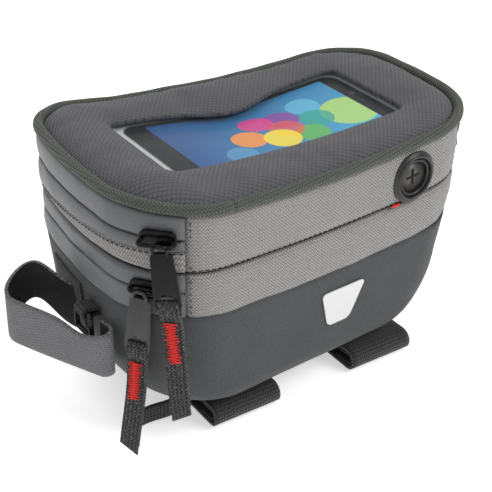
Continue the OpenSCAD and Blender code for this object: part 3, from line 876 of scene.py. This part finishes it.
def make_patch():
    bm = bmesh.new()
    corners = [bm.verts.new(c) for c in ((-7, -12, 0), (7, -12, 0), (14, 10, 0), (-14, 10, 0))]
    face = bm.faces.new(corners)
    bmesh.ops.bevel(bm, geom=corners, offset=3.0, offset_type="OFFSET", segments=6, profile=0.5,
                    affect="VERTICES", material=-1)
    made = bmesh.ops.extrude_face_region(bm, geom=bm.faces[:])
    bmesh.ops.translate(bm, vec=(0, 0, 0.5), verts=[g for g in made["geom"] if isinstance(g, bmesh.types.BMVert)])
    bmesh.ops.recalc_face_normals(bm, faces=bm.faces)
    lean = math.atan(8 / 62.5)
    inset = 8 * (75.5 - 53) / 62.5
    stand = Matrix.Rotation(math.radians(90) + lean, 4, "X")
    bmesh.ops.transform(bm, matrix=on_near_wall(7.5, 0.25 - inset, 53) @ stand, verts=bm.verts)
    piece = new_piece("reflective_badge", bm, REFLECTIVE, smooth=False)
    return stand_in(piece, "shell_body", "reflective", "reflective_patch")


make_patch()

# ---------- cable port ----------

PORT = on_near_wall(PORT_X, 0, PORT_Z) @ Matrix.Rotation(math.radians(90), 4, "X")



def turned_ring(name, profile, finish, closed_profile=True, steps=64):
    """A ring made by turning a profile of (radius, height) round the port's axis."""
    bm = bmesh.new()
    verts = [bm.verts.new((r, 0, h)) for r, h in profile]
    edges = [bm.edges.new((verts[k], verts[k + 1])) for k in range(len(verts) - 1)]
    if closed_profile:
        edges.append(bm.edges.new((verts[-1], verts[0])))
    bmesh.ops.spin(bm, geom=verts + edges, cent=(0, 0, 0), axis=(0, 0, 1), angle=2 * math.pi, steps=steps,
                   use_merge=True)
    bmesh.ops.remove_doubles(bm, verts=bm.verts, dist=1e-4)
    bmesh.ops.transform(bm, matrix=PORT, verts=bm.verts)
    bmesh.ops.recalc_face_normals(bm, faces=bm.faces)
    return new_piece(name, bm, finish)


flange = turned_ring("port_flange_ring", [(8.05, -3.0), (9.9, -3.0), (9.9, -0.2), (12.6, -0.2)]
                     + turn_points(12.5, 1.0, 0.8, -60, 60, 5) + [(12.0, 1.9)] + turn_points(11.0, 2.3, 0.8, 20, 160, 7)
                     + [(10.1, 1.9), (9.9, 0.8), (9.45, 0.8), (9.4, 1.5)] + turn_points(8.8, 1.6, 0.6, 20, 150, 5)
                     + [(8.1, 1.0)], RUBBER)
stand_in(flange, "upper_half", "rubber_black", "port_flange")


def make_membrane():
    bm = bmesh.new()
    bmesh.ops.create_circle(bm, cap_ends=True, cap_tris=False, segments=48, radius=7.95)
    bmesh.ops.inset_region(bm, faces=bm.faces[:], thickness=0.8)
    for k in range(4):
        bmesh.ops.inset_region(bm, faces=[max(bm.faces, key=lambda f: len(f.verts))], thickness=1.4)
    for vert in bm.verts:
        r = vert.co.length
        vert.co.z = 0.75 - 0.5 * (r / 8) ** 4 + (0.35 if 5.2 < r < 6.6 else 0)
    bmesh.ops.solidify(bm, geom=bm.faces[:], thickness=0.6)
    bmesh.ops.transform(bm, matrix=PORT, verts=bm.verts)
    bmesh.ops.recalc_face_normals(bm, faces=bm.faces)
    piece = new_piece("port_membrane_disc", bm, SOFT_RUBBER, smooth=True)
    return stand_in(piece, "upper_half", "rubber_black", "port_membrane")


make_membrane()


# The cross slit is drawn as two raised glossy black bars: painted shade that stands for the dark opening of the slit in
# the membrane.
def make_slit_painted_shade():
    bm = bmesh.new()
    for turn in (4, 94):
        bar = bmesh.ops.create_cube(bm, size=1)
        bmesh.ops.scale(bm, vec=(8.2, 0.85, 0.5), verts=bar["verts"])
        bmesh.ops.rotate(bm, cent=(0, 0, 0), matrix=Matrix.Rotation(math.radians(turn), 3, "Z"), verts=bar["verts"])
        bmesh.ops.translate(bm, vec=(0, 0, 0.66), verts=bar["verts"])
    bmesh.ops.bevel(bm, geom=bm.edges[:], offset=0.12, segments=2, profile=0.5, affect="EDGES", material=-1)
    bmesh.ops.transform(bm, matrix=PORT, verts=bm.verts)
    bmesh.ops.recalc_face_normals(bm, faces=bm.faces)
    return stand_in(new_piece("port_slit_painted_shade", bm, GLOSS), "upper_half", "rubber_black")


make_slit_painted_shade()


def zigzag(name, frame_matrix, width, length, turns, radius, finish, body, slot, *nodes, seed=0.0):
    """Bar-tack thread: tight zigzag over a strip, width by length, in the given frame (millimetres)."""
    bm = bmesh.new()
    points = []
    for k in range(turns * 2 + 1):
        side = (1 if k % 2 else -1) * width / 2 * (1 + 0.55 * noise.noise(Vector((k * 0.37, seed, 0))))
        points.append(Vector((side, -0.25, -length * k / (turns * 2) + 0.25 * noise.noise(Vector((k, 3, seed))))))
    for p, q in zip(points, points[1:]):
        along = q - p
        made = bmesh.ops.create_cone(bm, cap_ends=True, cap_tris=False, segments=6, radius1=radius, radius2=radius,
                                     depth=along.length + radius)
        spin = along.to_track_quat("Z", "Y").to_matrix().to_4x4()
        bmesh.ops.transform(bm, matrix=frame_matrix @ Matrix.Translation((p + q) / 2) @ spin, verts=made["verts"])
    bmesh.ops.recalc_face_normals(bm, faces=bm.faces)
    piece = new_piece(name, bm, finish)
    return stand_in(piece, body, slot, *nodes)


tack_frame = on_near_wall(38.6, 0.7, 99.5) @ Matrix.Rotation(math.radians(90), 4, "Y")
zigzag("port_bartack_thread", tack_frame, 1.3, 5, 8, 0.24, RED_THREAD, "upper_half", "thread_red", "port_bartack")

# ---------- zip sliders and pulls ----------

LOWER_ANGLE, UPPER_ANGLE = 217.9, 226.0


def at_wall(angle, level):
    (cx, cy), r = NEAR_FRONT
    return Matrix.Translation(MIDDLE) @ Matrix.Scale(MM, 4) @ Matrix.Translation((cx, cy, level)) @ \
        Matrix.Rotation(math.radians(angle + 90), 4, "Z") @ Matrix.Translation((0, -r, 0))


LOWER_WALL, UPPER_WALL = at_wall(LOWER_ANGLE, 93.3), at_wall(UPPER_ANGLE, 120)
LOWER_EYE = LOWER_WALL @ Matrix.Translation((0, -5, 0)) @ Matrix.Rotation(math.radians(5), 4, "Y")
UPPER_EYE = UPPER_WALL @ Matrix.Translation((3.7, -9, 0)) @ Matrix.Rotation(math.radians(-6), 4, "Y")


def bar_along(bm, points, radius, sides=10):
    for p, q in zip(points, points[1:]):
        p, q = Vector(p), Vector(q)
        along = q - p
        made = bmesh.ops.create_cone(bm, cap_ends=True, cap_tris=False, segments=sides, radius1=radius, radius2=radius,
                                     depth=along.length)
        spin = along.to_track_quat("Z", "Y").to_matrix().to_4x4()
        bmesh.ops.transform(bm, matrix=Matrix.Translation((p + q) / 2) @ spin, verts=made["verts"])
        ball = bmesh.ops.create_uvsphere(bm, u_segments=sides, v_segments=6, radius=radius)
        bmesh.ops.translate(bm, vec=q, verts=ball["verts"])


def make_slider(name, wall, base, eye, left, right, body, node):
    bm = soft_block((right - left + 1.4, 1.8, 8.8), 1, 3.2, 0.4)
    bmesh.ops.translate(bm, vec=((left + right) / 2, -base - 0.95, 0), verts=bm.verts)
    side = -(base + (eye - base) * 0.5)
    arch = [(left + 0.6, -base - 1.2, 0), (left, side, 0)]
    arch += [(x, y, 0) for x, y in turn_points(left + 2.0, -(eye - 2.0), 2.0, 180, 270, 5)]
    arch += [(x, y, 0) for x, y in turn_points(right - 2.0, -(eye - 2.0), 2.0, 270, 360, 5)]
    arch += [(right, side, 0), (right - 0.6, -base - 1.2, 0)]
    bar_along(bm, arch, 0.98)
    bmesh.ops.transform(bm, matrix=wall, verts=bm.verts)
    bmesh.ops.recalc_face_normals(bm, faces=bm.faces)
    piece = new_piece(name, bm, GLOSS)
    return stand_in(piece, body, "slider_black", node)


make_slider("lower_zip_slider", LOWER_WALL, 0.4, 5, -6.2, 6.2, "lower_slider_body", "lower_slider")
make_slider("upper_zip_slider", UPPER_WALL, 2.2, 9, -6.2, 8.8, "upper_slider_body", "upper_slider")


def make_puller(name, eye, finish, body, node, window):
    """Blade with an eye at its top and an oval window above its lower bar."""
    bm = bmesh.new()
    half = [(1.6, -2.6), (3.9, -3.2), (4.9, -4.3), (5.1, -8), (5.5, -17), (5.9, -24), (6.0, -29.0), (5.2, -31.2),
            (3.0, -31.9)]
    corners = [bm.verts.new((x, 0, z)) for x, z in half] + [bm.verts.new((-x, 0, z)) for x, z in reversed(half)]
    bm.faces.new(corners)
    bmesh.ops.inset_region(bm, faces=bm.faces[:], thickness=0.7)
    made = bmesh.ops.extrude_face_region(bm, geom=bm.faces[:])
    bmesh.ops.translate(bm, vec=(0, -1.7, 0), verts=[g for g in made["geom"] if isinstance(g, bmesh.types.BMVert)])
    bmesh.ops.translate(bm, vec=(0, 0.85, 0), verts=bm.verts)
    bmesh.ops.recalc_face_normals(bm, faces=bm.faces)
    half_loop = [(3.0, 0, -4.8), (3.1, -1.4, -2.4), (2.9, -2.0, 0.0), (1.6, -2.0, 1.3)]
    loop = [(-x, y, z) for x, y, z in half_loop] + [(0, -2.0, 1.6)] + half_loop[::-1]
    bar_along(bm, loop, 0.7, 10)
    rim_line = [(4.9 * math.cos(a), -0.85, window + 3.0 * math.sin(a)) for a in
                [2 * math.pi * k / 28 for k in range(29)]]
    bar_along(bm, rim_line, 0.34, 6)
    bmesh.ops.transform(bm, matrix=eye, verts=bm.verts)
    piece = new_piece(name, bm, finish, smooth=False)
    cutter_mesh = bmesh.new()
    bmesh.ops.create_cone(cutter_mesh, cap_ends=True, cap_tris=False, segments=32, radius1=1, radius2=1, depth=8)
    bmesh.ops.rotate(cutter_mesh, cent=(0, 0, 0), matrix=Matrix.Rotation(math.radians(90), 3, "X"),
                     verts=cutter_mesh.verts)
    bmesh.ops.scale(cutter_mesh, vec=(4.4, 1, 2.5), verts=cutter_mesh.verts)
    bmesh.ops.translate(cutter_mesh, vec=(0, 0, window), verts=cutter_mesh.verts)
    bmesh.ops.transform(cutter_mesh, matrix=eye, verts=cutter_mesh.verts)
    bmesh.ops.recalc_face_normals(cutter_mesh, faces=cutter_mesh.faces)
    cutter = new_piece(name + "_cutter", cutter_mesh, finish)
    cut = piece.modifiers.new("window", "BOOLEAN")
    cut.object = cutter
    cut.operation = "DIFFERENCE"
    cut.solver = "EXACT"
    bpy.context.view_layer.update()
    cut_mesh = bpy.data.meshes.new_from_object(piece.evaluated_get(bpy.context.evaluated_depsgraph_get()))
    piece.modifiers.clear()
    piece.data = cut_mesh
    bpy.data.objects.remove(cutter)
    soften = piece.modifiers.new("soft_edges", "BEVEL")
    soften.width = 0.0003
    soften.segments = 2
    soften.limit_method = "ANGLE"
    cut_mesh.polygons.foreach_set("use_smooth", [True] * len(cut_mesh.polygons))
    if not cut_mesh.materials:
        cut_mesh.materials.append(finish)
    return stand_in(piece, body, "slider_black", node)


make_puller("lower_zip_puller", LOWER_EYE, SATIN, "lower_puller_body", "lower_puller", -26.6)
make_puller("upper_zip_puller", UPPER_EYE, GLOSS, "upper_puller_body", "upper_puller", -26.6)


def make_tape(name, eye, body, node, slant, seed):
    """Woven tape folded through the puller's window, both layers sewn together, with a slanted cut end."""
    front, back, loop_r = 58.0, 54.0, 1.5
    total = front + math.pi * loop_r + back

    def place(u, v):
        d = u * total
        x = (v - 0.5) * 9.2
        if d < front:
            z = -(front - d)
            gap = loop_r if z > -3 else max(0.55, loop_r * math.exp((z + 3) / 3))
            y = -gap
            z += slant * (v - 0.5) * max(0, 1 - d / 6)
        elif d < front + math.pi * loop_r:
            a = (d - front) / loop_r
            y, z = -loop_r * math.cos(a), 2.5 * loop_r * math.sin(a)
        else:
            z = -(d - front - math.pi * loop_r)
            gap = loop_r if z > -3 else max(0.55, loop_r * math.exp((z + 3) / 3))
            y = gap
            z += slant * (v - 0.5) * max(0, 1 - (total - d) / 6)
        bow = 0.9 * math.sin(-z / 60 * math.pi * 1.3 + seed) * min(1, -min(z, 0) / 20)
        y += bow
        x += 0.5 * math.sin(-z / 45 * math.pi + seed)
        return eye @ Vector((x, y, -30 + z))

    piece = formed(name, place, 110, 8, total * MM, 9.2 * MM, TAPE, thick=0.9, middle=True)
    stand_in(piece, body, "webbing_black", node)
    return piece


make_tape("lower_woven_tape", LOWER_EYE, "lower_tape_body", "lower_pull_tape", -5, 0.3)
make_tape("upper_woven_tape", UPPER_EYE, "upper_tape_body", "upper_pull_tape", 4, 1.1)


def tape_tack(name, eye, body, node, seed):
    spot = eye @ Matrix.Translation((0, -1.35, -30 - 7))
    return zigzag(name, spot, 4.9, 21, 15, 0.37, RED_THREAD, body, "thread_red", node, seed=seed)


tape_tack("lower_bartack_thread", LOWER_EYE, "lower_tape_body", "lower_bartack", 1.0)
tape_tack("upper_bartack_thread", UPPER_EYE, "upper_tape_body", "upper_bartack", 5.0)

# ---------- front strap, ring and tab ----------

strap_plan = [(-100.1, 6.29), (-104.0, 12.0), (-107.8, 17.7)] + turn_points(-120, 17, 10.5, 34, 204.5, 24) \
    + [(-129.55 + 20.73 * k / 20, 12.65 - 45.5 * k / 20) for k in range(1, 20)] \
    + turn_points(-105.7, -31.44, 3.4, 204.5, 374.5, 14) + [(-103.0, -28.4), (-103.8, -25.3)]
strap_path = [(x, y, 54) for x, y in strap_plan]
strap, strap_length = ribbon("front_strap_band", strap_path, (0, 0, 1), 24, 1.8, STRAP_CLOTH, rows=10,
                             lift=lambda u, v: Vector((-0.8 * v, 0.6 * v, -4.6 * v)) * bell(u, 0.79, 0.1)
                             + Vector((0, 0, 0.5 * math.sin(u * 7 + 1) + (13 - 4 * v) * bell(u, 0.19, 0.11))))
strap.data.materials.append(HOOK_FACE)
strap.modifiers["wall"].material_offset = 1
stand_in(strap, "shell_body", "strap_black", "front_strap")

front_patch = shell_patch("front_strap_root_patch", 172, 184, 41, 69, 0.9, WEBBING, 0.9)
stand_in(front_patch, "shell_body", "strap_black", "front_strap_patch")

ring_path = [(-107, -14 - 7.2, 66.5)] + [(-107, -14 - 7.2, 59)] \
    + [(-107, y, z) for y, z in turn_points(-14 - 5.2, 57, 2.0, 180, 270, 5)] \
    + [(-107, y, z) for y, z in turn_points(-14 + 5.2, 57, 2.0, 270, 360, 5)] \
    + [(-107, -14 + 7.2, 59), (-107, -14 + 7.2, 65)] \
    + [(-107, y, z) for y, z in turn_points(-14 + 5.7, 65.5, 1.5, 0, 90, 4)] \
    + [(-107, y, z) for y, z in turn_points(-14 - 5.7, 65.5, 1.5, 90, 180, 4)]
ring = tube("plastic_ring", ring_path, 1.25, HARD, sides=12, closed=True)
stand_in(ring, "strap_ring", "hard_black", "front_ring")

tab_turn = [(-107 + x, -14, 67 + z) for x, z in turn_points(0, 0, 2.2, -60, -300, 18)]
tab_path = [(-99.5, -14, 65.4)] + tab_turn + [(-99.5, -14, 68.0)]
tab, _ = ribbon("ring_tab_webbing", tab_path, (0, 1, 0), 9, 1.2, WEBBING)
stand_in(tab, "shell_body", "webbing_black", "front_ring_tab")

# ---------- straps under the bag ----------


def make_bottom_strap(name, x, y0, y1, node):
    r = 4.9
    path = [(y0 + 14, 8.2), (y0 + 6, 8.2)] + turn_points(y0, 5.8, 2.6, 90, 270, 10) + [(y0 + 9, 3.0)]
    outer = [(y1 + (y0 - y1) * k / 30, 10.7) for k in range(30)]
    outer += turn_points(y0, 5.8, r, 90, 270, 14)
    outer += [(y0 + (y1 - y0) * k / 30, 0.9) for k in range(1, 30)]
    outer += turn_points(y1, 5.8, r, -90, 85, 14)
    loop = [(x, y, z) for y, z in outer]
    strap, length = ribbon(name, loop, (1, 0, 0), 38, 1.7, WEBBING, rows=14)
    stand_in(strap, "shell_body", "strap_black", node)
    fold, _ = ribbon(name + "_fold", [(x, y, z) for y, z in path], (1, 0, 0), 37, 1.3, HOOK_FACE, rows=10)
    stand_in(fold, "shell_body", "strap_black")


make_bottom_strap("front_bottom_strap", -39, -46, 44, "bottom_strap_front")
make_bottom_strap("rear_bottom_strap", 46, -46, 42, "bottom_strap_rear")


def make_patch_plate(name, x, node):
    bm = soft_block((42, 66, 1.2), 2, 4, 0.3)
    weave = bm.loops.layers.uv.new("weave")
    for face in bm.faces:
        for loop in face.loops:
            loop[weave].uv = (loop.vert.co.x * MM, loop.vert.co.y * MM)
    bmesh.ops.transform(bm, matrix=Matrix.Translation(at(x, -1, 12.3)) @ Matrix.Scale(MM, 4), verts=bm.verts)
    piece = new_piece(name, bm, WEBBING, smooth=False)
    return stand_in(piece, "shell_body", "webbing_black", node)


make_patch_plate("front_sewn_patch", -39, "bottom_patch_front")
make_patch_plate("rear_sewn_patch", 40, "bottom_patch_rear")

tail_plan = [(-90, -32.2)] + [(-90 + 28.5 * k / 16, -32.2 + 0.5 * math.sin(k * 0.5)) for k in range(1, 17)] \
    + turn_points(-62.2, -31.0, 1.4, 270, 360, 5) + [(-60.8, -26), (-60.8, -19.4)]
tail, _ = ribbon("tail_webbing_strip", [(x, y, 8.2) for x, y in tail_plan], (0, 0, 1), 9.4, 1.5, WEBBING)
stand_in(tail, "shell_body", "webbing_black", "tail_webbing")

# ---------- kept solids and their finishes ----------

KEPT = {"base_board": BOARD, "lower_zip_coil": COIL, "middle_zip_coil": COIL, "upper_zip_coil": COIL,
        "lid_zip_coil": COIL, "port_retainer": RUBBER}
for node, finish in KEPT.items():
    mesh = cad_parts[node].data
    mesh.materials.clear()
    mesh.materials.append(finish)

# ---------- studio ----------


SOFTBOXES = (("key_softbox", (0.75, -0.95, 1.15), 0.8, 12.8), ("top_softbox", (-0.2, 0.5, 1.3), 1.0, 6.5),
             ("left_softbox", (-1.1, -0.5, 0.6), 0.7, 0.5))


def make_studio():
    bm = bmesh.new()
    bmesh.ops.create_grid(bm, x_segments=8, y_segments=8, size=9)
    floor_finish = speckled("pale_floor", shade(250, 250, 250), shade(244, 244, 244), 30.0, 0.5, 0.02, 0.1, 0.3)
    glow = floor_finish.node_tree.nodes["Principled BSDF"]
    glow.inputs["Emission Color"].default_value = (1, 1, 1, 1)
    glow.inputs["Emission Strength"].default_value = 0.5
    floor = new_piece("floor", bm, floor_finish, smooth=False)
    floor.location.z = -0.0005
    world = bpy.data.worlds.new("studio_air")
    world.use_nodes = True
    sky = world.node_tree.nodes["Background"]
    sky.inputs[0].default_value = (1, 1, 1, 1)
    sky.inputs[1].default_value = 0.52
    bpy.context.scene.world = world
    for name, spot, size, power in SOFTBOXES:
        data = bpy.data.lights.new(name, "AREA")
        data.energy = power
        data.size = size
        lamp = bpy.data.objects.new(name, data)
        lamp.location = spot
        aim = Vector((0, 0, 0.07)) - Vector(spot)
        lamp.rotation_euler = aim.to_track_quat("-Z", "Y").to_euler()
        bpy.context.scene.collection.objects.link(lamp)
    bpy.context.scene.view_settings.view_transform = "Standard"


make_studio()
